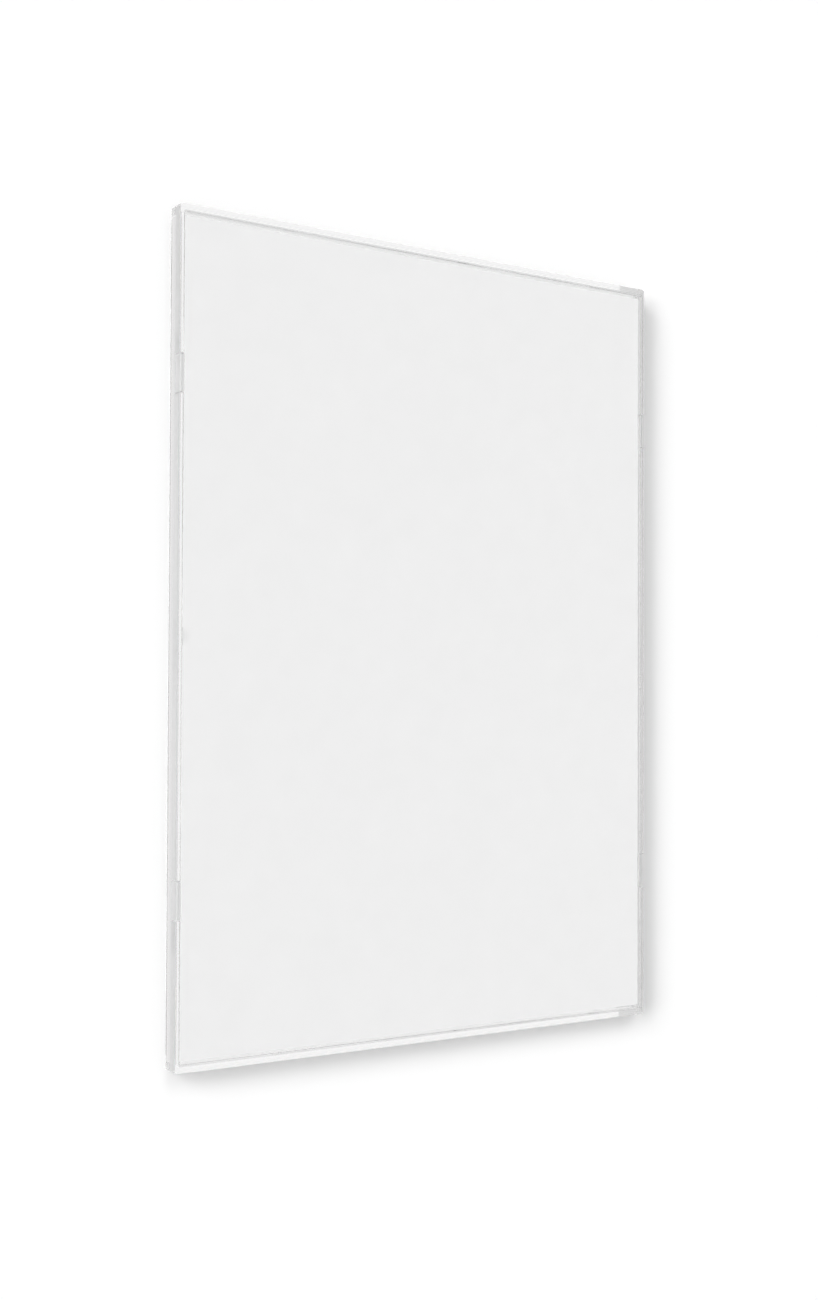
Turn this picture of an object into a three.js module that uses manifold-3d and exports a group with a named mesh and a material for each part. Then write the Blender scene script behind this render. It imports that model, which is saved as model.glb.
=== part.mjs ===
// Door sign holder for one portrait A4 sheet: a clear moulded tray, a clear front pane that snaps into it,
// the sheet between them, and four foam pads that hold the tray to a door or wall.
//
// Frame: X to the right and Z up as the sign is read, Y into the wall. The origin is the middle of the wall
// plane, so the front faces -Y. Sizes are in millimetres.
//
// Every piece is first drawn lying on its back: x to the right, y up the sheet, and z as the height above the
// wall plane. It is turned upright at the end.
import * as THREE from "three";
import { mergeVertices } from "three/addons/utils/BufferGeometryUtils.js";
import Module from "manifold-3d";

const wasm = await Module();
wasm.setup();

// Insert sheet
const sheetWidth = 210;
const sheetHeight = 297;
const sheetThickness = 0.3;
const sheetEdgeClearance = 0.2;
const sheetFaceClearance = 0.1;

// Tray walls, ledge and floor
const sideWallThickness = 1.3;
const endWallThickness = 2.4;
const sideLedgeWidth = 1;
const endLedgeWidth = 1.4;
const floorThickness = 2;
const outerCornerRadius = 1;
const pocketCornerRadius = 0.8;
const rimChamfer = 0.35;

// Front pane
const paneThickness = 2;
const paneEdgeClearance = 0.3;
const paneSeatClearance = 0.1;
const paneCornerRadius = 1;
const paneChamfer = 0.2;
const gateRadius = 3.4;
const gateDepth = 0.3;

// Snap tabs of the pane and their notches in the long walls
const tabLength = 13.6;
const tabSpacing = 185;
const tabDepth = 3.8;
const tabClearance = 0.3;
const tabLeadIn = 0.3;
const beadRadius = 0.25;
const beadSetback = 0.8;
const grooveClearance = 0.1;

// Foam pads and the lands that they stick to
const padWidth = 40;
const padHeight = 20;
const padThickness = 3;
const padCornerRadius = 2;
const padSideInset = 7.2;
const padEndInset = 7.6;
const landMargin = 1.5;
const landHeight = 0.4;

// Screw bosses, ribs and the middle rest on the tray's back
const bossDiameter = 10;
const bossToLandGap = 3.5;
const screwHoleDiameter = 4.2;
const countersinkDiameter = 8.4;
const restDiameter = 18;
const ribThickness = 1.4;
const ribSetback = 0.4;

// Cutters run past the faces that they open, and joined forms run into each other, by this much.
const overrun = 0.5;
const cornerSegments = 3;
const beadSegments = 4;
const roundSegments = 24;
const gateRings = 90;

// Outline sizes
const pocketWidth = sheetWidth + 2 * sheetEdgeClearance;
const pocketHeight = sheetHeight + 2 * sheetEdgeClearance;
const innerWidth = pocketWidth + 2 * sideLedgeWidth;
const innerHeight = pocketHeight + 2 * endLedgeWidth;
const outerWidth = innerWidth + 2 * sideWallThickness;
const outerHeight = innerHeight + 2 * endWallThickness;
const innerCornerRadius = pocketCornerRadius;

// Heights above the wall plane
const floorBack = padThickness + landHeight;
const floorFront = floorBack + floorThickness;
const sheetBack = floorFront + sheetFaceClearance;
const sheetFront = sheetBack + sheetThickness;
const ledgeTop = sheetFront + sheetFaceClearance;
const paneBack = ledgeTop + paneSeatClearance;
const rimTop = paneBack + paneThickness;
const tabBottom = rimTop - tabDepth;
const beadHeight = tabBottom + beadSetback;

// Places of what stands on the tray's back, worked out from its corners
const padX = innerWidth / 2 - padSideInset - padWidth / 2;
const padY = innerHeight / 2 - padEndInset - padHeight / 2;
const bossToPad = landMargin + bossToLandGap + bossDiameter / 2;
const screwX = padX - padWidth / 2 - bossToPad;
const screwY = padY - padHeight / 2 - bossToPad;

// The four corners of the sign, by the names that a reader facing it would use
const corners = [
  { name: "upper_left", side: -1, end: 1 },
  { name: "upper_right", side: 1, end: 1 },
  { name: "lower_left", side: -1, end: -1 },
  { name: "lower_right", side: 1, end: -1 },
];

// A rectangle about the origin with quarter-round corners.
function roundedRectangle(width, height, radius) {
  const right = width / 2;
  const top = height / 2;
  const shape = new THREE.Shape();
  shape.moveTo(-right + radius, -top);
  shape.lineTo(right - radius, -top);
  shape.absarc(right - radius, -top + radius, radius, -Math.PI / 2, 0);
  shape.lineTo(right, top - radius);
  shape.absarc(right - radius, top - radius, radius, 0, Math.PI / 2);
  shape.lineTo(-right + radius, top);
  shape.absarc(-right + radius, top - radius, radius, Math.PI / 2, Math.PI);
  shape.lineTo(-right, -top + radius);
  shape.absarc(-right + radius, -top + radius, radius, Math.PI, 1.5 * Math.PI);
  return shape;
}

// A flat plate of the given outline between two heights, with its edges chamfered.
function plate(shape, bottom, top, chamfer = 0) {
  const geometry = new THREE.ExtrudeGeometry(shape, {
    depth: top - bottom - 2 * chamfer,
    curveSegments: cornerSegments,
    bevelEnabled: chamfer > 0,
    bevelThickness: chamfer,
    bevelSize: chamfer,
    bevelOffset: -chamfer,
    bevelSegments: 1,
  });
  return geometry.translate(0, 0, bottom + chamfer);
}

// A cutter that opens a recess of the given outline up to a rim, and chamfers the rim's inner edge.
function flaredOpening(shape, bottom, rim, chamfer) {
  const straight = plate(shape, bottom, rim + overrun);
  const flare = new THREE.ExtrudeGeometry(shape, {
    depth: overrun,
    curveSegments: cornerSegments,
    bevelThickness: chamfer,
    bevelSize: chamfer,
    bevelSegments: 1,
  });
  return solid(straight).add(solid(flare.translate(0, 0, rim)));
}

// A round bar or disc standing between two heights, tapered if the radii differ.
function disc(bottomRadius, topRadius, bottom, top, x = 0, y = 0) {
  const geometry = new THREE.CylinderGeometry(topRadius, bottomRadius, top - bottom, roundSegments);
  return geometry.rotateX(Math.PI / 2).translate(x, y, (bottom + top) / 2);
}

// A shallow round dish, hollowed upward from a face at the given height.
function dish(radius, depth, face, x, y) {
  const ballRadius = (radius ** 2 + depth ** 2) / (2 * depth);
  const geometry = new THREE.SphereGeometry(ballRadius, roundSegments, gateRings);
  return geometry.rotateX(Math.PI / 2).translate(x, y, face + depth - ballRadius);
}

// A box between two heights, centred at x and y.
function block(width, height, bottom, top, x = 0, y = 0) {
  const geometry = new THREE.BoxGeometry(width, height, top - bottom);
  return geometry.translate(x, y, (bottom + top) / 2);
}

// A section drawn as x and height, run along y over the given length about a middle.
function alongEdge(section, length, middleY) {
  const geometry = new THREE.ExtrudeGeometry(section, {
    depth: length,
    curveSegments: beadSegments,
    bevelEnabled: false,
  });
  return geometry.translate(0, 0, -length / 2).rotateX(Math.PI / 2).translate(0, middleY, 0);
}

// A closed solid from a geometry, for joining and cutting.
function solid(geometry) {
  const bare = geometry.clone();
  bare.deleteAttribute("normal");
  bare.deleteAttribute("uv");
  const merged = mergeVertices(bare, 1e-4);
  return new wasm.Manifold(
    new wasm.Mesh({
      numProp: 3,
      vertProperties: new Float32Array(merged.attributes.position.array),
      triVerts: new Uint32Array(merged.index.array),
    }),
  );
}

// The geometry of a joined or cut solid.
function geometryOf(made) {
  const mesh = made.getMesh();
  const geometry = new THREE.BufferGeometry();
  geometry.setAttribute("position", new THREE.BufferAttribute(new Float32Array(mesh.vertProperties), 3));
  geometry.setIndex(new THREE.BufferAttribute(new Uint32Array(mesh.triVerts), 1));
  return geometry;
}

// A named piece, turned from lying on its back to standing upright against the wall.
function piece(name, made, material) {
  const upright = geometryOf(made).rotateX(Math.PI / 2).toNonIndexed();
  upright.computeVertexNormals();
  const mesh = new THREE.Mesh(upright, material.clone());
  mesh.name = name;
  return mesh;
}

const clearPolystyrene = new THREE.MeshStandardMaterial({
  color: 0xf3f6f6,
  roughness: 0.06,
  metalness: 0,
  transparent: true,
  opacity: 0.3,
});
const whitePaper = new THREE.MeshStandardMaterial({ color: 0xf4f4f4, roughness: 0.85, metalness: 0 });
const whiteFoam = new THREE.MeshStandardMaterial({ color: 0xeeeeea, roughness: 0.95, metalness: 0 });

// Ribs from boss to boss and across the middle rest, set back from the wall plane. They stop at the bosses, so
// that none shows through the tray's clear walls.
function backRibs() {
  const top = floorBack + overrun;
  const upright = [-screwX, 0, screwX].map((x) => block(ribThickness, 2 * screwY, ribSetback, top, x, 0));
  const level = [-screwY, 0, screwY].map((y) => block(2 * screwX, ribThickness, ribSetback, top, 0, y));
  return [...upright, ...level].map(solid);
}

// Screw bosses, pad lands and the middle rest, which all stand on the back of the floor.
function backStands() {
  const top = floorBack + overrun;
  const stands = [solid(disc(restDiameter / 2, restDiameter / 2, 0, top))];
  const landOutline = roundedRectangle(
    padWidth + 2 * landMargin,
    padHeight + 2 * landMargin,
    padCornerRadius + landMargin,
  );
  for (const { side, end } of corners) {
    const land = plate(landOutline, padThickness, top).translate(side * padX, end * padY, 0);
    stands.push(solid(land));
    stands.push(solid(disc(bossDiameter / 2, bossDiameter / 2, 0, top, side * screwX, end * screwY)));
  }
  return stands;
}

// Holes for countersunk screws, whose heads lie below the floor under the sheet.
function screwHoles() {
  const holeRadius = screwHoleDiameter / 2;
  const sinkRadius = countersinkDiameter / 2;
  const sinkBottom = floorFront - (sinkRadius - holeRadius);
  return corners.flatMap(({ side, end }) => {
    const x = side * screwX;
    const y = end * screwY;
    const hole = disc(holeRadius, holeRadius, -overrun, floorFront + overrun, x, y);
    const sink = disc(holeRadius, sinkRadius + overrun, sinkBottom, floorFront + overrun, x, y);
    return [solid(hole), solid(sink)];
  });
}

// Notches through the long walls for the snap tabs, each with the groove that the tab's bead drops into.
function tabNotches() {
  const bottom = tabBottom - tabClearance;
  const notchLength = tabLength + 2 * tabClearance;
  const notchWidth = sideWallThickness + overrun;
  const grooveRadius = beadRadius + grooveClearance;
  return corners.flatMap(({ side, end }) => {
    const y = (end * tabSpacing) / 2;
    const wallX = (side * innerWidth) / 2;
    const notch = block(notchWidth, notchLength, bottom, rimTop + overrun, wallX + (side * notchWidth) / 2, y);
    const grooveSection = new THREE.Shape();
    grooveSection.absarc(wallX, beadHeight, grooveRadius, 0, 2 * Math.PI);
    return [solid(notch), solid(alongEdge(grooveSection, notchLength, y))];
  });
}

// The tray: a block with its back cut flat, its front opened for the pane and the sheet, and its back hollowed
// between the walls.
function backTray() {
  const outer = roundedRectangle(outerWidth, outerHeight, outerCornerRadius);
  const inner = roundedRectangle(innerWidth, innerHeight, innerCornerRadius);
  const pocket = roundedRectangle(pocketWidth, pocketHeight, pocketCornerRadius);
  const openings = [
    solid(block(outerWidth + overrun, outerHeight + overrun, -2 * overrun, 0)),
    flaredOpening(inner, ledgeTop, rimTop, paneChamfer),
    solid(plate(pocket, floorFront, rimTop)),
    solid(plate(inner, -overrun, floorBack)),
  ];
  let tray = solid(plate(outer, -overrun, rimTop, rimChamfer));
  for (const opening of openings) {
    tray = tray.subtract(opening);
  }
  for (const stand of [...backRibs(), ...backStands()]) {
    tray = tray.add(stand);
  }
  for (const cut of [...screwHoles(), ...tabNotches()]) {
    tray = tray.subtract(cut);
  }
  return piece("back_tray", tray, clearPolystyrene);
}

// Section of a snap tab: out over the ledge, then a lip down the notch with a bead near its tip.
function tabSection(side) {
  const root = innerWidth / 2 - paneEdgeClearance - overrun;
  const lipInner = innerWidth / 2 + tabClearance;
  const lipOuter = outerWidth / 2;
  const section = new THREE.Shape();
  section.moveTo(side * root, rimTop);
  section.lineTo(side * (lipOuter - rimChamfer), rimTop);
  section.lineTo(side * lipOuter, rimTop - rimChamfer);
  section.lineTo(side * lipOuter, tabBottom);
  section.lineTo(side * (lipInner + tabLeadIn), tabBottom);
  section.lineTo(side * lipInner, tabBottom + tabLeadIn);
  section.lineTo(side * lipInner, beadHeight - beadRadius);
  if (side > 0) {
    section.absarc(lipInner, beadHeight, beadRadius, -Math.PI / 2, Math.PI / 2, true);
  } else {
    section.absarc(-lipInner, beadHeight, beadRadius, -Math.PI / 2, Math.PI / 2, false);
  }
  section.lineTo(side * lipInner, paneBack);
  section.lineTo(side * root, paneBack);
  return section;
}

// The front pane with its four snap tabs and the shallow half dish where the moulding was gated.
function frontPane() {
  const paneWidth = innerWidth - 2 * paneEdgeClearance;
  const paneHeight = innerHeight - 2 * paneEdgeClearance;
  const outline = roundedRectangle(paneWidth, paneHeight, paneCornerRadius);
  let pane = solid(plate(outline, paneBack, rimTop, paneChamfer));
  for (const { side, end } of corners) {
    pane = pane.add(solid(alongEdge(tabSection(side), tabLength, (end * tabSpacing) / 2)));
  }
  const gate = dish(gateRadius, gateDepth, paneBack, -paneWidth / 2, 0);
  return piece("front_pane", pane.subtract(solid(gate)), clearPolystyrene);
}

// The blank sheet, loose by a hair between the floor and the pane.
function insertSheet() {
  const sheet = block(sheetWidth, sheetHeight, sheetBack, sheetFront);
  return piece("insert_sheet", solid(sheet), whitePaper);
}

// The foam pads, which fill the height between their lands and the wall.
function foamPads() {
  const outline = roundedRectangle(padWidth, padHeight, padCornerRadius);
  return corners.map(({ name, side, end }) => {
    const pad = plate(outline, 0, padThickness).translate(side * padX, end * padY, 0);
    return piece("foam_pad_" + name, solid(pad), whiteFoam);
  });
}

const doorSignHolder = new THREE.Group();
doorSignHolder.name = "door_sign_holder";
doorSignHolder.add(backTray(), insertSheet(), frontPane(), ...foamPads());

export default doorSignHolder;
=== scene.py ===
"""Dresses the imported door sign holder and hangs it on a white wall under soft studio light.

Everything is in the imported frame, in metres: X to the right and Z up as the sign is read, Y into the wall.
The wall plane is Y = 0, so the front of the sign faces -Y.
"""

import logging
import math
from dataclasses import dataclass
from enum import Enum
from typing import Any

import bmesh
import bpy
from mathutils import Matrix, Vector


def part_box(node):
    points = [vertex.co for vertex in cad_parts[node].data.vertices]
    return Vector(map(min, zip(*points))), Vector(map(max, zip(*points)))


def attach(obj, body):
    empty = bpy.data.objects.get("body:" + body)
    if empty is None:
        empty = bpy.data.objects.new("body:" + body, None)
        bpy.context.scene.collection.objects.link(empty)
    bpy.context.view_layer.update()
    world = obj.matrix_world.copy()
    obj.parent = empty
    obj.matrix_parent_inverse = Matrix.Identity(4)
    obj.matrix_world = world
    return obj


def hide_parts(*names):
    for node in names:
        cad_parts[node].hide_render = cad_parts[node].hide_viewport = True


LOG = logging.getLogger("door_sign_holder")
MM = 0.001
TRAY_BODY = "tray"

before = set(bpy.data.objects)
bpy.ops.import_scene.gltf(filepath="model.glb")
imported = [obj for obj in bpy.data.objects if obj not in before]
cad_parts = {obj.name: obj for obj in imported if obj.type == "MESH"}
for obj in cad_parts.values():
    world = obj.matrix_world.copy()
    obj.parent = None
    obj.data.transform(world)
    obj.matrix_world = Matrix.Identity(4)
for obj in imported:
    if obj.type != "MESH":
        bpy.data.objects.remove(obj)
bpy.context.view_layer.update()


class Corner(Enum):
    """The corners of the sign, by the names that a reader facing it would use."""

    UPPER_LEFT = "upper_left"
    UPPER_RIGHT = "upper_right"
    LOWER_LEFT = "lower_left"
    LOWER_RIGHT = "lower_right"


class PadFace(Enum):
    """The material places of a foam pad."""

    CUT_FOAM = 0
    ADHESIVE = 1


def linear_colour(code: str) -> tuple[float, float, float, float]:
    """Turn an sRGB hex colour into the linear values that shaders use.

    Args:
        code: The colour as "#RRGGBB".

    Returns:
        Linear red, green and blue, and an alpha of 1.
    """
    channels = [int(code[place : place + 2], 16) / 255 for place in (1, 3, 5)]
    red, green, blue = (c / 12.92 if c <= 0.04045 else ((c + 0.055) / 1.055) ** 2.4 for c in channels)
    return (red, green, blue, 1.0)


def add_node(
    tree: bpy.types.NodeTree,
    kind: str,
    inputs: dict[str | int, Any] | None = None,
    **settings: Any,
) -> bpy.types.Node:
    """Add a node with its settings, input values and links.

    Args:
        tree: The node tree that takes the node.
        kind: The node's type name.
        inputs: What goes into its sockets, by name or number: a value, or another node's output to link.
        settings: The node's own properties.

    Returns:
        The new node.
    """
    node = tree.nodes.new(kind)
    for name, value in settings.items():
        setattr(node, name, value)
    for socket, value in (inputs or {}).items():
        if isinstance(value, bpy.types.NodeSocket):
            tree.links.new(value, node.inputs[socket])
        else:
            node.inputs[socket].default_value = value
    return node


def empty_material(name: str) -> tuple[bpy.types.Material, bpy.types.NodeTree]:
    """Make a material whose node tree is empty.

    Args:
        name: The material's name.

    Returns:
        The material and its node tree.
    """
    material = bpy.data.materials.new(name)
    material.use_nodes = True
    material.node_tree.nodes.clear()
    return material, material.node_tree


def wear(piece: bpy.types.Object, *materials: bpy.types.Material) -> None:
    """Give a piece these materials, in the order of its material places."""
    piece.data.materials.clear()
    for material in materials:
        piece.data.materials.append(material)


@dataclass(frozen=True)
class ClearPolystyrene:
    """Clear polystyrene, injection moulded in a polished mould.

    It gives the eye a colourless body with bright, slightly grey edges, and a polish that is a little uneven
    along the flow of the melt. Its depth takes up a little of all colours but spared_colour. Lamp light goes
    in through its front and reaches what is behind it, but most of it is reflected inside at the outer walls
    and doesn't come out there, so that a clear rim casts a shadow.
    """

    name: str
    tint: str = "#FFFFFF"
    ior: float = 1.59
    least_roughness: float = 0.0
    most_roughness: float = 0.005
    flow_length_mm: float = 35.0
    flow_detail: float = 2.0
    flow_height_mm: float = 0.0005
    spared_colour: str = "#000000"
    taken_per_metre: float = 0.5
    lamp_tint: str = "#FFFFFF"
    rim_shadow: str = "#404040"
    outer_wall_mm: float = 106.8

    def outer_walls(
        self,
        tree: bpy.types.NodeTree,
        place: bpy.types.Node,
        face: bpy.types.Node,
    ) -> bpy.types.Node:
        """Tell the outer walls from the other faces.

        A face is one of them if the side of it that is met looks away from the middle of the sign and lies
        more than outer_wall_mm from it.

        Args:
            tree: The material's node tree.
            place: The node that gives the place on the piece.
            face: The node that gives the face's direction.

        Returns:
            The node that gives 1 on the outer walls and 0 elsewhere.
        """
        reach = add_node(
            tree,
            "ShaderNodeVectorMath",
            {0: face.outputs["True Normal"], 1: place.outputs["Object"]},
            operation="DOT_PRODUCT",
        )
        return add_node(
            tree,
            "ShaderNodeMath",
            {0: reach.outputs["Value"], 1: self.outer_wall_mm * MM},
            operation="GREATER_THAN",
        )

    def lamp_light(
        self,
        tree: bpy.types.NodeTree,
        outer: bpy.types.Node,
        face: bpy.types.Node,
    ) -> bpy.types.Node:
        """Let lamp light through, but little of it out of the outer walls.

        A ray of lamp light is followed back to its lamp, so light leaves the plastic where the ray enters it.

        Args:
            tree: The material's node tree.
            outer: The node that gives 1 on the outer walls.
            face: The node that tells the inside of a face from its outside.

        Returns:
            The shader that a ray of lamp light meets.
        """
        leaving = add_node(
            tree,
            "ShaderNodeMath",
            {0: outer.outputs[0], 1: face.outputs["Backfacing"]},
            operation="SUBTRACT",
        )
        shade = add_node(
            tree,
            "ShaderNodeMix",
            {0: leaving.outputs[0], 6: linear_colour(self.lamp_tint), 7: linear_colour(self.rim_shadow)},
            data_type="RGBA",
        )
        return add_node(tree, "ShaderNodeBsdfTransparent", {"Color": shade.outputs[2]})

    def surface(
        self,
        tree: bpy.types.NodeTree,
        place: bpy.types.Node,
        polish: bpy.types.Node,
    ) -> dict[str, Any]:
        """Choose the colour, the roughness and the clearness of the surface.

        Args:
            tree: The material's node tree.
            place: The node that gives the place on the piece.
            polish: The node that gives the roughness that the mould leaves.

        Returns:
            What goes into the body's sockets.
        """
        return {
            "Base Color": linear_colour(self.tint),
            "Roughness": polish.outputs[0],
            "Transmission Weight": 1.0,
        }

    def make(self) -> bpy.types.Material:
        """Build the material and return it."""
        material, tree = empty_material(self.name)
        place = add_node(tree, "ShaderNodeTexCoord")
        flow = add_node(
            tree,
            "ShaderNodeTexNoise",
            {
                "Vector": place.outputs["Object"],
                "Scale": 1 / (self.flow_length_mm * MM),
                "Detail": self.flow_detail,
            },
        )
        polish = add_node(
            tree,
            "ShaderNodeMapRange",
            {0: flow.outputs[0], 3: self.least_roughness, 4: self.most_roughness},
        )
        ripple = add_node(
            tree,
            "ShaderNodeBump",
            {"Height": flow.outputs[0], "Distance": self.flow_height_mm * MM},
        )
        body = add_node(
            tree,
            "ShaderNodeBsdfPrincipled",
            {
                **self.surface(tree, place, polish),
                "IOR": self.ior,
                "Normal": ripple.outputs[0],
            },
        )
        face = add_node(tree, "ShaderNodeNewGeometry")
        open_to_lamps = self.lamp_light(tree, self.outer_walls(tree, place, face), face)
        path = add_node(tree, "ShaderNodeLightPath")
        soft = add_node(
            tree,
            "ShaderNodeMixShader",
            {0: path.outputs["Is Diffuse Ray"], 1: body.outputs[0], 2: open_to_lamps.outputs[0]},
        )
        lit = add_node(
            tree,
            "ShaderNodeMixShader",
            {0: path.outputs["Is Shadow Ray"], 1: soft.outputs[0], 2: open_to_lamps.outputs[0]},
        )
        depth = add_node(
            tree,
            "ShaderNodeVolumeAbsorption",
            {"Color": linear_colour(self.spared_colour), "Density": self.taken_per_metre},
        )
        add_node(tree, "ShaderNodeOutputMaterial", {"Surface": lit.outputs[0], "Volume": depth.outputs[0]})
        return material


@dataclass(frozen=True)
class LedgedPolystyrene(ClearPolystyrene):
    """Clear polystyrene of the tray: its ledge is tinted as painted shade, its side walls satin at the front.

    It gives the eye a dull grey line of painted shade between the bright rim and the sheet, and side walls of
    an even, soft grey. The heights of the ledge and of the satin are measured from the wall.
    """

    flow_height_mm: float = 0.00005
    taken_per_metre: float = 0.1
    ledge_mm: float = 5.9
    ledge_painted_shade: str = "#E2E2E2"
    ledge_roughness: float = 0.05
    satin_side_mm: float = 107.5
    satin_from_mm: float = 3.0
    satin_roughness: float = 0.3
    face_reach_mm: float = 0.03

    def surface(
        self,
        tree: bpy.types.NodeTree,
        place: bpy.types.Node,
        polish: bpy.types.Node,
    ) -> dict[str, Any]:
        """Choose the colour, the roughness and the clearness of the surface, ledge and satin among them.

        Args:
            tree: The material's node tree.
            place: The node that gives the place on the piece.
            polish: The node that gives the roughness that the mould leaves.

        Returns:
            What goes into the body's sockets.
        """
        axes = add_node(tree, "ShaderNodeSeparateXYZ", {0: place.outputs["Object"]}).outputs
        out = add_node(tree, "ShaderNodeMath", {0: axes["X"]}, operation="ABSOLUTE")
        ledge, side = (
            add_node(
                tree,
                "ShaderNodeMath",
                {0: distance, 1: face_mm * MM, 2: self.face_reach_mm * MM},
                operation="COMPARE",
            )
            for distance, face_mm in ((axes["Y"], -self.ledge_mm), (out.outputs[0], self.satin_side_mm))
        )
        ahead = add_node(
            tree,
            "ShaderNodeMath",
            {0: axes["Y"], 1: -self.satin_from_mm * MM},
            operation="LESS_THAN",
        )
        satin = add_node(
            tree,
            "ShaderNodeMath",
            {0: side.outputs[0], 1: ahead.outputs[0]},
            operation="MULTIPLY",
        )
        # The ledge takes a grey tint: painted shade between the rim and the sheet.
        colour = add_node(
            tree,
            "ShaderNodeMix",
            {0: ledge.outputs[0], 6: linear_colour(self.tint), 7: linear_colour(self.ledge_painted_shade)},
            data_type="RGBA",
        )
        roughness = polish.outputs[0]
        for part, value in ((ledge, self.ledge_roughness), (satin, self.satin_roughness)):
            mixed = add_node(tree, "ShaderNodeMix", {0: part.outputs[0], 2: roughness, 3: value})
            roughness = mixed.outputs[0]
        return {
            "Base Color": colour.outputs[2],
            "Roughness": roughness,
            "Transmission Weight": 1.0,
        }


@dataclass(frozen=True)
class GatedPolystyrene(ClearPolystyrene):
    """Clear polystyrene of the pane, moulded from a gate at its left edge, with spark-eroded snap tabs.

    It gives the eye a faint grey patch that fades out round the gate, and tabs that are an even, dull grey.
    """

    gate_mm: tuple[float, float, float] = (-105.9, -7.0, 0.0)
    gate_grey: str = "#F2F2F2"
    gate_grey_radius_mm: float = 4.2
    tabs_from_mm: float = 106.0
    tab_tint: str = "#EEEEEE"
    tab_roughness: float = 0.45
    tab_clearness: float = 0.66

    def surface(
        self,
        tree: bpy.types.NodeTree,
        place: bpy.types.Node,
        polish: bpy.types.Node,
    ) -> dict[str, Any]:
        """Choose the colour, the roughness and the clearness of the surface, the grey round the gate and the
        tabs among them.

        Args:
            tree: The material's node tree.
            place: The node that gives the place on the piece.
            polish: The node that gives the roughness that the mould leaves.

        Returns:
            What goes into the body's sockets.
        """
        # A faint grey that fades out within a few millimetres of the gate.
        gate = Vector(self.gate_mm) * MM
        away = add_node(
            tree,
            "ShaderNodeVectorMath",
            {0: place.outputs["Object"], 1: gate},
            operation="DISTANCE",
        )
        clear = add_node(
            tree,
            "ShaderNodeMapRange",
            {0: away.outputs["Value"], 2: self.gate_grey_radius_mm * MM},
            interpolation_type="SMOOTHSTEP",
        )
        gate_grey = add_node(
            tree,
            "ShaderNodeMix",
            {0: clear.outputs[0], 6: linear_colour(self.gate_grey), 7: linear_colour(self.tint)},
            data_type="RGBA",
        )
        axes = add_node(tree, "ShaderNodeSeparateXYZ", {0: place.outputs["Object"]})
        out = add_node(tree, "ShaderNodeMath", {0: axes.outputs["X"]}, operation="ABSOLUTE")
        tab = add_node(
            tree,
            "ShaderNodeMath",
            {0: out.outputs[0], 1: self.tabs_from_mm * MM},
            operation="GREATER_THAN",
        )
        colour = add_node(
            tree,
            "ShaderNodeMix",
            {0: tab.outputs[0], 6: gate_grey.outputs[2], 7: linear_colour(self.tab_tint)},
            data_type="RGBA",
        )
        roughness = add_node(
            tree,
            "ShaderNodeMix",
            {0: tab.outputs[0], 2: polish.outputs[0], 3: self.tab_roughness},
        )
        clearness = add_node(tree, "ShaderNodeMapRange", {0: tab.outputs[0], 3: 1.0, 4: self.tab_clearness})
        return {
            "Base Color": colour.outputs[2],
            "Roughness": roughness.outputs[0],
            "Transmission Weight": clearness.outputs[0],
        }


@dataclass(frozen=True)
class UncoatedCard:
    """White uncoated card, rolled smooth.

    It gives the eye a matt, even white with the faint clouding and tooth of its fibres. The fibres are drawn
    several times too coarse, because real ones are too fine to show.
    """

    name: str
    pale: str = "#F0F0F0"
    dark: str = "#ECECEC"
    cloud_mm: float = 9.0
    cloud_detail: float = 3.0
    fibre_mm: float = 0.5
    fibre_detail: float = 2.0
    tooth_mm: float = 0.01
    tooth_strength: float = 0.5
    least_roughness: float = 0.78
    most_roughness: float = 0.9
    ior: float = 1.47
    specular_level: float = 0.25

    def make(self) -> bpy.types.Material:
        """Build the material and return it."""
        material, tree = empty_material(self.name)
        place = add_node(tree, "ShaderNodeTexCoord")
        cloud = add_node(
            tree,
            "ShaderNodeTexNoise",
            {
                "Vector": place.outputs["Object"],
                "Scale": 1 / (self.cloud_mm * MM),
                "Detail": self.cloud_detail,
            },
        )
        fibre = add_node(
            tree,
            "ShaderNodeTexNoise",
            {
                "Vector": place.outputs["Object"],
                "Scale": 1 / (self.fibre_mm * MM),
                "Detail": self.fibre_detail,
            },
        )
        shade = add_node(
            tree,
            "ShaderNodeMix",
            {0: cloud.outputs[0], 6: linear_colour(self.dark), 7: linear_colour(self.pale)},
            data_type="RGBA",
        )
        dryness = add_node(
            tree,
            "ShaderNodeMapRange",
            {0: fibre.outputs[0], 3: self.least_roughness, 4: self.most_roughness},
        )
        tooth = add_node(
            tree,
            "ShaderNodeBump",
            {"Height": fibre.outputs[0], "Strength": self.tooth_strength, "Distance": self.tooth_mm * MM},
        )
        body = add_node(
            tree,
            "ShaderNodeBsdfPrincipled",
            {
                "Base Color": shade.outputs[2],
                "Roughness": dryness.outputs[0],
                "IOR": self.ior,
                "Specular IOR Level": self.specular_level,
                "Normal": tooth.outputs[0],
            },
        )
        add_node(tree, "ShaderNodeOutputMaterial", {"Surface": body.outputs[0]})
        return material


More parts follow.
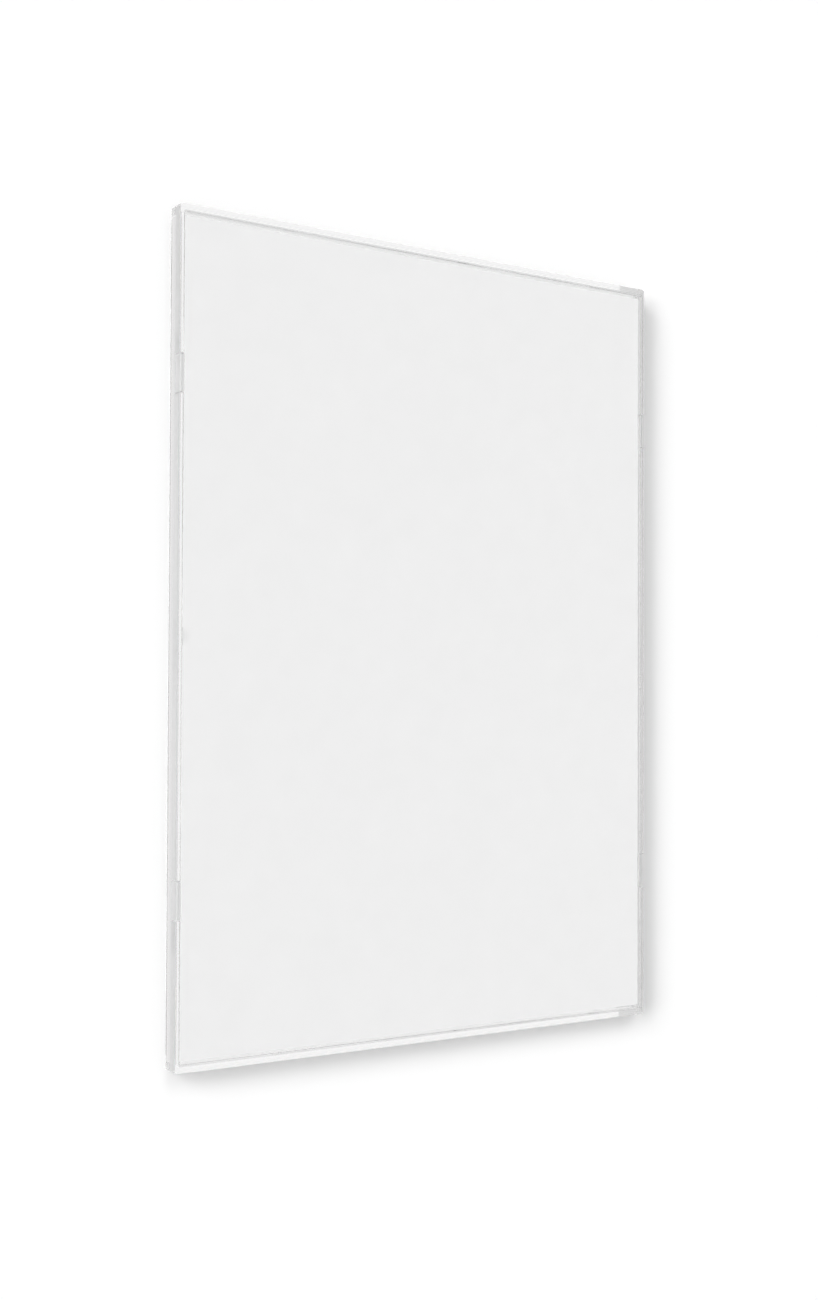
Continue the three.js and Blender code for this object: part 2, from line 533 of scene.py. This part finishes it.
@dataclass(frozen=True)
class ClosedCellFoam:
    """White closed-cell polyethylene foam, cut by a die.

    It gives the eye a dull white edge, pricked all over where the cut has opened its cells; their hollows are
    coloured darker as painted shade. A cell is hollow within hollow_to of its middle and wall beyond
    wall_from, both as shares of its size.
    """

    name: str
    wall: str = "#F1EFE9"
    # The darker colour of the opened cells' hollows is painted shade.
    hollow: str = "#CFCBC0"
    cell_mm: float = 0.45
    cell_depth_mm: float = 0.12
    hollow_to: float = 0.15
    wall_from: float = 0.65
    hollow_roughness: float = 0.98
    wall_roughness: float = 0.8
    ior: float = 1.5

    def make(self) -> bpy.types.Material:
        """Build the material and return it."""
        material, tree = empty_material(self.name)
        place = add_node(tree, "ShaderNodeTexCoord")
        cells = add_node(
            tree,
            "ShaderNodeTexVoronoi",
            {"Vector": place.outputs["Object"], "Scale": 1 / (self.cell_mm * MM)},
        )
        walls = add_node(
            tree,
            "ShaderNodeMapRange",
            {0: cells.outputs[0], 1: self.hollow_to, 2: self.wall_from},
        )
        # Painted shade: the cells' hollows take the darker colour.
        shade = add_node(
            tree,
            "ShaderNodeMix",
            {0: walls.outputs[0], 6: linear_colour(self.hollow), 7: linear_colour(self.wall)},
            data_type="RGBA",
        )
        dullness = add_node(
            tree,
            "ShaderNodeMapRange",
            {0: walls.outputs[0], 3: self.hollow_roughness, 4: self.wall_roughness},
        )
        pricks = add_node(
            tree,
            "ShaderNodeBump",
            {"Height": walls.outputs[0], "Distance": self.cell_depth_mm * MM},
        )
        body = add_node(
            tree,
            "ShaderNodeBsdfPrincipled",
            {
                "Base Color": shade.outputs[2],
                "Roughness": dullness.outputs[0],
                "IOR": self.ior,
                "Normal": pricks.outputs[0],
            },
        )
        add_node(tree, "ShaderNodeOutputMaterial", {"Surface": body.outputs[0]})
        return material


@dataclass(frozen=True)
class AcrylicAdhesive:
    """Acrylic adhesive, coated on foam over a tissue carrier.

    It gives the eye a tacky, wavy gloss over a white that is a touch yellow, mottled by the tissue below. The
    coat is thin where the tissue's pattern is under thin_to, and thick where it is over thick_from.
    """

    name: str
    pale: str = "#F0EEE4"
    dark: str = "#E2DECF"
    tissue_mm: float = 1.6
    tissue_detail: float = 4.0
    tissue_twist: float = 0.6
    thin_to: float = 0.35
    thick_from: float = 0.65
    ripple_mm: float = 0.03
    ripple_strength: float = 0.6
    least_roughness: float = 0.22
    most_roughness: float = 0.45
    ior: float = 1.48

    def make(self) -> bpy.types.Material:
        """Build the material and return it."""
        material, tree = empty_material(self.name)
        place = add_node(tree, "ShaderNodeTexCoord")
        tissue = add_node(
            tree,
            "ShaderNodeTexNoise",
            {
                "Vector": place.outputs["Object"],
                "Scale": 1 / (self.tissue_mm * MM),
                "Detail": self.tissue_detail,
                "Distortion": self.tissue_twist,
            },
        )
        coat = add_node(
            tree,
            "ShaderNodeMapRange",
            {0: tissue.outputs[0], 1: self.thin_to, 2: self.thick_from},
        )
        shade = add_node(
            tree,
            "ShaderNodeMix",
            {0: coat.outputs[0], 6: linear_colour(self.dark), 7: linear_colour(self.pale)},
            data_type="RGBA",
        )
        tack = add_node(
            tree,
            "ShaderNodeMapRange",
            {0: coat.outputs[0], 3: self.least_roughness, 4: self.most_roughness},
        )
        ripple = add_node(
            tree,
            "ShaderNodeBump",
            {"Height": tissue.outputs[0], "Strength": self.ripple_strength, "Distance": self.ripple_mm * MM},
        )
        body = add_node(
            tree,
            "ShaderNodeBsdfPrincipled",
            {
                "Base Color": shade.outputs[2],
                "Roughness": tack.outputs[0],
                "IOR": self.ior,
                "Normal": ripple.outputs[0],
            },
        )
        add_node(tree, "ShaderNodeOutputMaterial", {"Surface": body.outputs[0]})
        return material


@dataclass
class MouldingOrSheet:
    """One of the two clear mouldings or the blank sheet between them, shown as its CAD solid."""

    node: str
    finish: ClearPolystyrene | UncoatedCard

    def dress(self) -> bpy.types.Object:
        """Give the piece its finish and return it."""
        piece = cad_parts[self.node]
        wear(piece, self.finish.make())
        return piece


@dataclass
class EjectorMarks:
    """The round marks that the mould's ejector pins left on the back of the tray's floor.

    They stand in rows that keep clear of the ribs, bosses and pads.
    """

    finish: ClearPolystyrene
    columns: int = 4
    rows: int = 4
    spacing_x_mm: float = 49.0
    spacing_z_mm: float = 56.25
    floor_back_mm: float = 3.4
    radius_mm: float = 3.0
    sides: int = 28
    height_mm: float = 0.12
    gap_mm: float = 0.02
    name: str = "ejector_marks"

    def rule(self) -> bpy.types.NodeTree:
        """Build the node tree that sets discs out on a grid, and return it."""
        tree = bpy.data.node_groups.new("ejector_mark_grid", "GeometryNodeTree")
        for name in ("Spacing X", "Spacing Z", "Floor Back", "Radius", "Height"):
            tree.interface.new_socket(name, in_out="INPUT", socket_type="NodeSocketFloat")
        for name in ("Columns", "Rows", "Sides"):
            tree.interface.new_socket(name, in_out="INPUT", socket_type="NodeSocketInt")
        tree.interface.new_socket("Finish", in_out="INPUT", socket_type="NodeSocketMaterial")
        tree.interface.new_socket("Marks", in_out="OUTPUT", socket_type="NodeSocketGeometry")
        given = add_node(tree, "NodeGroupInput").outputs
        spans = []
        for count, spacing in (("Columns", "Spacing X"), ("Rows", "Spacing Z")):
            gaps = add_node(tree, "ShaderNodeMath", {0: given[count], 1: 1.0}, operation="SUBTRACT")
            span = add_node(
                tree,
                "ShaderNodeMath",
                {0: gaps.outputs[0], 1: given[spacing]},
                operation="MULTIPLY",
            )
            spans.append(span.outputs[0])
        grid = add_node(
            tree,
            "GeometryNodeMeshGrid",
            {
                "Size X": spans[0],
                "Size Y": spans[1],
                "Vertices X": given["Columns"],
                "Vertices Y": given["Rows"],
            },
        )
        disc = add_node(
            tree,
            "GeometryNodeMeshCylinder",
            {"Vertices": given["Sides"], "Radius": given["Radius"], "Depth": given["Height"]},
        )
        marks = add_node(
            tree,
            "GeometryNodeInstanceOnPoints",
            {"Points": grid.outputs["Mesh"], "Instance": disc.outputs["Mesh"]},
        )
        half = add_node(tree, "ShaderNodeMath", {0: given["Height"], 1: 0.5}, operation="MULTIPLY")
        depth = add_node(
            tree,
            "ShaderNodeMath",
            {0: half.outputs[0], 1: given["Floor Back"]},
            operation="SUBTRACT",
        )
        move = add_node(tree, "ShaderNodeCombineXYZ", {"Y": depth.outputs[0]})
        upright = add_node(
            tree,
            "GeometryNodeTransform",
            {
                "Geometry": marks.outputs["Instances"],
                "Translation": move.outputs[0],
                "Rotation": (math.radians(90), 0.0, 0.0),
            },
        )
        real = add_node(tree, "GeometryNodeRealizeInstances", {"Geometry": upright.outputs[0]})
        dressed = add_node(
            tree,
            "GeometryNodeSetMaterial",
            {"Geometry": real.outputs[0], "Material": given["Finish"]},
        )
        add_node(tree, "NodeGroupOutput", {"Marks": dressed.outputs[0]})
        return tree

    def build(self) -> bpy.types.Object:
        """Set the marks out as one plain mesh that rides on the tray, and return it."""
        finish = self.finish.make()
        maker = bpy.data.objects.new("ejector_mark_maker", bpy.data.meshes.new("ejector_mark_maker"))
        bpy.context.scene.collection.objects.link(maker)
        modifier = maker.modifiers.new("grid", "NODES")
        modifier.node_group = self.rule()
        sizes = {
            "Spacing X": self.spacing_x_mm * MM,
            "Spacing Z": self.spacing_z_mm * MM,
            "Floor Back": (self.floor_back_mm - self.gap_mm) * MM,
            "Radius": self.radius_mm * MM,
            "Height": self.height_mm * MM,
            "Columns": self.columns,
            "Rows": self.rows,
            "Sides": self.sides,
            "Finish": finish,
        }
        for item in modifier.node_group.interface.items_tree:
            if item.in_out == "INPUT":
                modifier[item.identifier] = sizes[item.name]
        depsgraph = bpy.context.evaluated_depsgraph_get()
        mesh = bpy.data.meshes.new_from_object(maker.evaluated_get(depsgraph), depsgraph=depsgraph)
        bpy.data.objects.remove(maker)
        mesh.name = self.name
        piece = bpy.data.objects.new(self.name, mesh)
        bpy.context.scene.collection.objects.link(piece)
        wear(piece, finish)
        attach(piece, TRAY_BODY)
        return piece


@dataclass
class FoamPad:
    """One double-sided foam pad: a foam core between two coats of adhesive.

    The die leaves its cut sides a little hollow.
    """

    corner: Corner
    foam: bpy.types.Material
    adhesive: bpy.types.Material
    corner_radius_mm: float = 2.0
    corner_steps: int = 8
    coat_mm: float = 0.12
    hollow_mm: float = 0.22
    core_steps: int = 8
    air_mm: float = 0.05

    def outline(self, width: float, height: float, inset: float) -> list[tuple[float, float]]:
        """Draw the pad's rounded outline about its middle.

        Args:
            width: The full width along X.
            height: The full height along Z.
            inset: How far the outline is drawn in.

        Returns:
            The points of the outline, as X and Z, counter-clockwise as the sign is read.
        """
        radius = self.corner_radius_mm * MM
        points = []
        for turn, (side, end) in enumerate(((1, 1), (-1, 1), (-1, -1), (1, -1))):
            for step in range(self.corner_steps + 1):
                angle = math.radians(90 * (turn + step / self.corner_steps))
                reach = radius - inset
                x = side * (width / 2 - radius) + reach * math.cos(angle)
                z = end * (height / 2 - radius) + reach * math.sin(angle)
                points.append((x, z))
        return points

    def layers(self, tray_y: float, wall_y: float) -> list[tuple[float, float, PadFace]]:
        """List the pad's cross-sections from the tray to the wall.

        Args:
            tray_y: Y at the tray.
            wall_y: Y at the wall.

        Returns:
            The Y, the inset and the material of the band that ends there, for each section.
        """
        low = tray_y + self.coat_mm * MM
        high = wall_y - self.coat_mm * MM
        sections = [(tray_y, 0.0, PadFace.ADHESIVE), (low, 0.0, PadFace.ADHESIVE)]
        for step in range(1, self.core_steps):
            share = step / self.core_steps
            inset = self.hollow_mm * MM * math.sin(math.pi * share)
            sections.append((low + (high - low) * share, inset, PadFace.CUT_FOAM))
        sections.append((high, 0.0, PadFace.CUT_FOAM))
        sections.append((wall_y, 0.0, PadFace.ADHESIVE))
        return sections

    def build(self) -> bpy.types.Object:
        """Make the pad in the place of its CAD solid and return it."""
        node = f"foam_pad_{self.corner.value}"
        low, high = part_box(node)
        middle = (low + high) / 2
        size = high - low
        mesh_tool = bmesh.new()
        rings = []
        for y, inset, place in self.layers(low.y + self.air_mm * MM, high.y):
            ring = [
                mesh_tool.verts.new((middle.x + x, y, middle.z + z))
                for x, z in self.outline(size.x, size.z, inset)
            ]
            if rings:
                self.band(mesh_tool, rings[-1], ring, place)
            rings.append(ring)
        for ring in (rings[0], rings[-1]):
            mesh_tool.faces.new(ring).material_index = PadFace.ADHESIVE.value
        bmesh.ops.recalc_face_normals(mesh_tool, faces=mesh_tool.faces)
        mesh = bpy.data.meshes.new(f"{node}_die_cut")
        mesh_tool.to_mesh(mesh)
        mesh_tool.free()
        piece = bpy.data.objects.new(mesh.name, mesh)
        bpy.context.scene.collection.objects.link(piece)
        wear(piece, self.foam, self.adhesive)
        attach(piece, TRAY_BODY)
        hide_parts(node)
        return piece

    @staticmethod
    def band(
        mesh_tool: bmesh.types.BMesh,
        lower: list[bmesh.types.BMVert],
        upper: list[bmesh.types.BMVert],
        place: PadFace,
    ) -> None:
        """Join two rings of points with a band of four-sided faces.

        Args:
            mesh_tool: The mesh that takes the faces.
            lower: The ring that the band starts at.
            upper: The ring that it ends at, with as many points.
            place: The material of its faces.
        """
        for index, point in enumerate(lower):
            after = (index + 1) % len(lower)
            face = mesh_tool.faces.new((point, lower[after], upper[after], upper[index]))
            face.material_index = place.value


@dataclass(frozen=True)
class PaintedLightPatch:
    """A patch of the wall behind the sign's rim, and the level of painted light and shade that it shows where
    it is seen through the plastic.

    Its place is given by distances in from the sign's left edge and from the nearer of its top and bottom
    edges. Where one of them isn't given, the patch takes up all of the sign that way.
    """

    level: float
    from_left_mm: tuple[float, float] | None = None
    from_end_mm: tuple[float, float] | None = None


@dataclass
class Wall:
    """The painted white wall that the sign hangs on, which sweeps out into a floor far below."""

    half_width: float = 2.0
    top: float = 1.4
    floor: float = -0.9
    reach: float = 2.2
    cove_radius: float = 0.3
    cove_steps: int = 12
    gap_mm: float = 0.2
    paint: str = "#F7F7F7"
    lift: float = 0.1
    painted_shade_level: float = 0.74
    patches: tuple[PaintedLightPatch, ...] = (
        # Painted light behind the end rims, the left rim and a line inside it, where light is led down
        PaintedLightPatch(0.9, from_end_mm=(0.0, 3.0)),
        PaintedLightPatch(0.9, from_left_mm=(0.0, 1.0)),
        PaintedLightPatch(0.9, from_left_mm=(3.35, 3.75)),
        # Painted shadow behind the right edge, where the sign's own shadow falls
        PaintedLightPatch(0.65, from_left_mm=(205.0, 215.0)),
        # Painted light behind the right tabs
        PaintedLightPatch(0.85, from_left_mm=(207.5, 215.0), from_end_mm=(53.0, 67.0)),
    )

    def profile(self) -> list[tuple[float, float]]:
        """Draw the sweep from the wall's top to the floor's front edge, as Y and Z points, and return it."""
        back = self.gap_mm * MM
        points = [(back, self.top)]
        for step in range(self.cove_steps + 1):
            angle = math.radians(90 * step / self.cove_steps)
            y = back - self.cove_radius * (1 - math.cos(angle))
            z = self.floor + self.cove_radius * (1 - math.sin(angle))
            points.append((y, z))
        points.append((-self.reach, self.floor))
        return points

    def painted_light_through_plastic(self, tree: bpy.types.NodeTree) -> bpy.types.NodeSocket:
        """Paint how bright the wall is where it is seen through the plastic, as painted light and painted
        shade.

        The patches stand in for the light that the rim and the tabs lead down to some parts of it and keep
        off others. The rest is painted shade.

        Args:
            tree: The paint's node tree.

        Returns:
            The painted brightness.
        """
        low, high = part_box("back_tray")
        place = add_node(tree, "ShaderNodeTexCoord")
        axes = add_node(tree, "ShaderNodeSeparateXYZ", {0: place.outputs["Object"]}).outputs
        height = add_node(tree, "ShaderNodeMath", {0: axes["Z"]}, operation="ABSOLUTE").outputs[0]
        from_left = add_node(tree, "ShaderNodeMath", {0: axes["X"], 1: low.x}, operation="SUBTRACT")
        from_end = add_node(tree, "ShaderNodeMath", {0: high.z, 1: height}, operation="SUBTRACT")
        whole_width = (0.0, (high.x - low.x) / MM)
        whole_height = (0.0, high.z / MM)
        level = self.painted_shade_level
        for patch in self.patches:
            spans = (
                (from_left, patch.from_left_mm or whole_width),
                (from_end, patch.from_end_mm or whole_height),
            )
            across, along = (
                add_node(
                    tree,
                    "ShaderNodeMath",
                    {0: distance.outputs[0], 1: (near + far) / 2 * MM, 2: (far - near) / 2 * MM},
                    operation="COMPARE",
                ).outputs[0]
                for distance, (near, far) in spans
            )
            inside = add_node(tree, "ShaderNodeMath", {0: across, 1: along}, operation="MULTIPLY").outputs[0]
            level = add_node(tree, "ShaderNodeMapRange", {0: inside, 3: level, 4: patch.level}).outputs[0]
        return level

    def material(self) -> bpy.types.Material:
        """Build the wall's paint and return it.

        It is seen a little lighter than it is lit, so that it shows as white. Through the clear plastic it
        shows a
        glow instead of its lighting: painted light where the plastic leads light down to it, and a pale grey
        of painted shade elsewhere. From behind it isn't seen, so that the back of the sign can be looked at.
        """
        material, tree = empty_material("matt_white_wall_paint")
        path = add_node(tree, "ShaderNodeLightPath").outputs
        side = add_node(tree, "ShaderNodeNewGeometry")
        paint = add_node(tree, "ShaderNodeBsdfDiffuse", {"Color": linear_colour(self.paint)})
        strength = add_node(
            tree,
            "ShaderNodeMath",
            {0: path["Is Camera Ray"], 1: self.lift},
            operation="MULTIPLY",
        )
        glow = add_node(tree, "ShaderNodeEmission", {"Strength": strength.outputs[0]})
        lifted = add_node(tree, "ShaderNodeAddShader", {0: paint.outputs[0], 1: glow.outputs[0]})
        # Seen through the plastic, the wall shows a glow of painted light and painted shade instead of its
        # own lighting.
        even = add_node(tree, "ShaderNodeEmission", {"Strength": self.painted_light_through_plastic(tree)})
        front = add_node(
            tree,
            "ShaderNodeMixShader",
            {0: path["Is Transmission Ray"], 1: lifted.outputs[0], 2: even.outputs[0]},
        )
        clear = add_node(tree, "ShaderNodeBsdfTransparent")
        one_sided = add_node(
            tree,
            "ShaderNodeMixShader",
            {0: side.outputs["Backfacing"], 1: front.outputs[0], 2: clear.outputs[0]},
        )
        add_node(tree, "ShaderNodeOutputMaterial", {"Surface": one_sided.outputs[0]})
        return material

    def build(self) -> bpy.types.Object:
        """Make the wall and return it."""
        mesh_tool = bmesh.new()
        left, right = (
            [mesh_tool.verts.new((x, y, z)) for y, z in self.profile()]
            for x in (-self.half_width, self.half_width)
        )
        for index in range(len(left) - 1):
            mesh_tool.faces.new((left[index], left[index + 1], right[index + 1], right[index]))
        mesh = bpy.data.meshes.new("wall")
        mesh_tool.to_mesh(mesh)
        mesh_tool.free()
        wall = bpy.data.objects.new("wall", mesh)
        bpy.context.scene.collection.objects.link(wall)
        wear(wall, self.material())
        wall.visible_diffuse = False
        wall.visible_glossy = False
        wall.visible_shadow = False
        return wall


@dataclass(frozen=True)
class DistantLamp:
    """One lamp so far away that its light doesn't fall off across the sign."""

    name: str
    direction: tuple[float, float, float]
    spread_deg: float
    strength: float

    def build(self) -> bpy.types.Object:
        """Make the lamp and return it."""
        light = bpy.data.lights.new(self.name, "SUN")
        light.angle = math.radians(self.spread_deg)
        light.energy = self.strength
        lamp = bpy.data.objects.new(self.name, light)
        bpy.context.scene.collection.objects.link(lamp)
        lamp.location = self.direction
        lamp.rotation_euler = Vector(self.direction).to_track_quat("Z", "Y").to_euler()
        lamp.visible_camera = False
        lamp.visible_glossy = False
        lamp.visible_transmission = False
        return lamp


@dataclass
class Studio:
    """The plain soft light round the sign: a white surround and a few distant lamps.

    The rim leads sight lines round inside it many times, so light may bounce as often as that takes.
    """

    white: str = "#FFFFFF"
    surround_lights: float = 0.15
    surround_shows: float = 1.0
    bounces: int = 256
    clear_layers: int = 32
    lamps: tuple[DistantLamp, ...] = (
        DistantLamp("left_lamp", (-2.17, -1.0, 0.1), 19.6, 1.3),
        DistantLamp("upper_left_lamp", (-2.0, -1.0, 1.05), 27.0, 1.8),
        DistantLamp("upper_lamp", (-0.05, -1.0, 1.01), 31.0, 0.62),
        DistantLamp("front_lamp", (-0.75, -2.36, 0.0), 34.0, 1.0),
        DistantLamp("rear_lamp", (1.2, 1.5, 0.9), 32.0, 2.0),
    )

    def world(self) -> None:
        """Make the surround, which lights at one level and is seen as plain white."""
        world = bpy.data.worlds.new("white_surround")
        world.use_nodes = True
        tree = world.node_tree
        tree.nodes.clear()
        path = add_node(tree, "ShaderNodeLightPath").outputs
        lights, shows = (
            add_node(tree, "ShaderNodeBackground", {"Color": linear_colour(self.white), "Strength": strength})
            for strength in (self.surround_lights, self.surround_shows)
        )
        seen = path["Is Camera Ray"]
        for ray in ("Is Glossy Ray", "Is Transmission Ray"):
            seen = add_node(tree, "ShaderNodeMath", {0: seen, 1: path[ray]}, operation="MAXIMUM").outputs[0]
        both = add_node(tree, "ShaderNodeMixShader", {0: seen, 1: lights.outputs[0], 2: shows.outputs[0]})
        add_node(tree, "ShaderNodeOutputWorld", {"Surface": both.outputs[0]})
        bpy.context.scene.world = world

    def light_paths(self) -> None:
        """Set how often light may bounce and how many clear layers it may pass."""
        cycles = bpy.context.scene.cycles
        cycles.max_bounces = self.bounces
        cycles.glossy_bounces = self.bounces
        cycles.transmission_bounces = self.bounces
        cycles.transparent_max_bounces = self.clear_layers

    def build(self) -> list[bpy.types.Object]:
        """Make the surround and the lamps, and return the lamps."""
        self.world()
        self.light_paths()
        return [lamp.build() for lamp in self.lamps]


@dataclass(frozen=True)
class Viewpoint:
    """Where the photograph was taken from, and its lens."""

    position_mm: tuple[float, float, float] = (-354.2, -529.7, -25.5)
    yaw_deg: float = 33.34
    pitch_deg: float = 1.17
    roll_deg: float = 0.23
    focal_px: float = 1638.0
    rise_px: float = 26.4
    image_height_px: float = 1300.0
    sensor_mm: float = 36.0
    nearest_mm: float = 10.0

    def build(self) -> bpy.types.Object:
        """Make the camera, give it to the scene and return it."""
        yaw, pitch, roll = (math.radians(a) for a in (self.yaw_deg, self.pitch_deg, self.roll_deg))
        ahead = Vector((math.sin(yaw) * math.cos(pitch), math.cos(yaw) * math.cos(pitch), math.sin(pitch)))
        level = Vector((math.cos(yaw), -math.sin(yaw), 0.0))
        rise = level.cross(ahead)
        right = math.cos(roll) * level + math.sin(roll) * rise
        up = right.cross(ahead)
        lens = bpy.data.cameras.new("photograph_view")
        lens.sensor_fit = "VERTICAL"
        lens.sensor_height = self.sensor_mm
        lens.lens = self.focal_px / self.image_height_px * self.sensor_mm
        lens.shift_y = self.rise_px / self.image_height_px
        lens.clip_start = self.nearest_mm * MM
        camera = bpy.data.objects.new("photograph_view", lens)
        bpy.context.scene.collection.objects.link(camera)
        turn = Matrix((right, up, -ahead)).transposed().to_4x4()
        camera.matrix_world = Matrix.Translation(Vector(self.position_mm) * MM) @ turn
        bpy.context.scene.camera = camera
        return camera


def main() -> None:
    """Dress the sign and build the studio."""
    logging.basicConfig(level=logging.INFO, format="%(name)s: %(message)s")
    solids = (
        MouldingOrSheet("back_tray", LedgedPolystyrene("moulded_clear_polystyrene_tray")),
        MouldingOrSheet("front_pane", GatedPolystyrene("moulded_clear_polystyrene_pane")),
        MouldingOrSheet("insert_sheet", UncoatedCard("uncoated_white_card")),
    )
    for solid in solids:
        LOG.info("dressed %s", solid.dress().name)
    marks = EjectorMarks(ClearPolystyrene("moulded_clear_polystyrene_marks"))
    LOG.info("built %s", marks.build().name)
    foam = ClosedCellFoam("die_cut_polyethylene_foam").make()
    adhesive = AcrylicAdhesive("coated_acrylic_adhesive").make()
    for corner in Corner:
        LOG.info("built %s", FoamPad(corner, foam, adhesive).build().name)
    LOG.info("built %s", Wall().build().name)
    for lamp in Studio().build():
        LOG.info("built %s", lamp.name)
    LOG.info("built %s", Viewpoint().build().name)
    bpy.context.scene.view_settings.view_transform = "Standard"


if __name__ == "__main__":
    main()
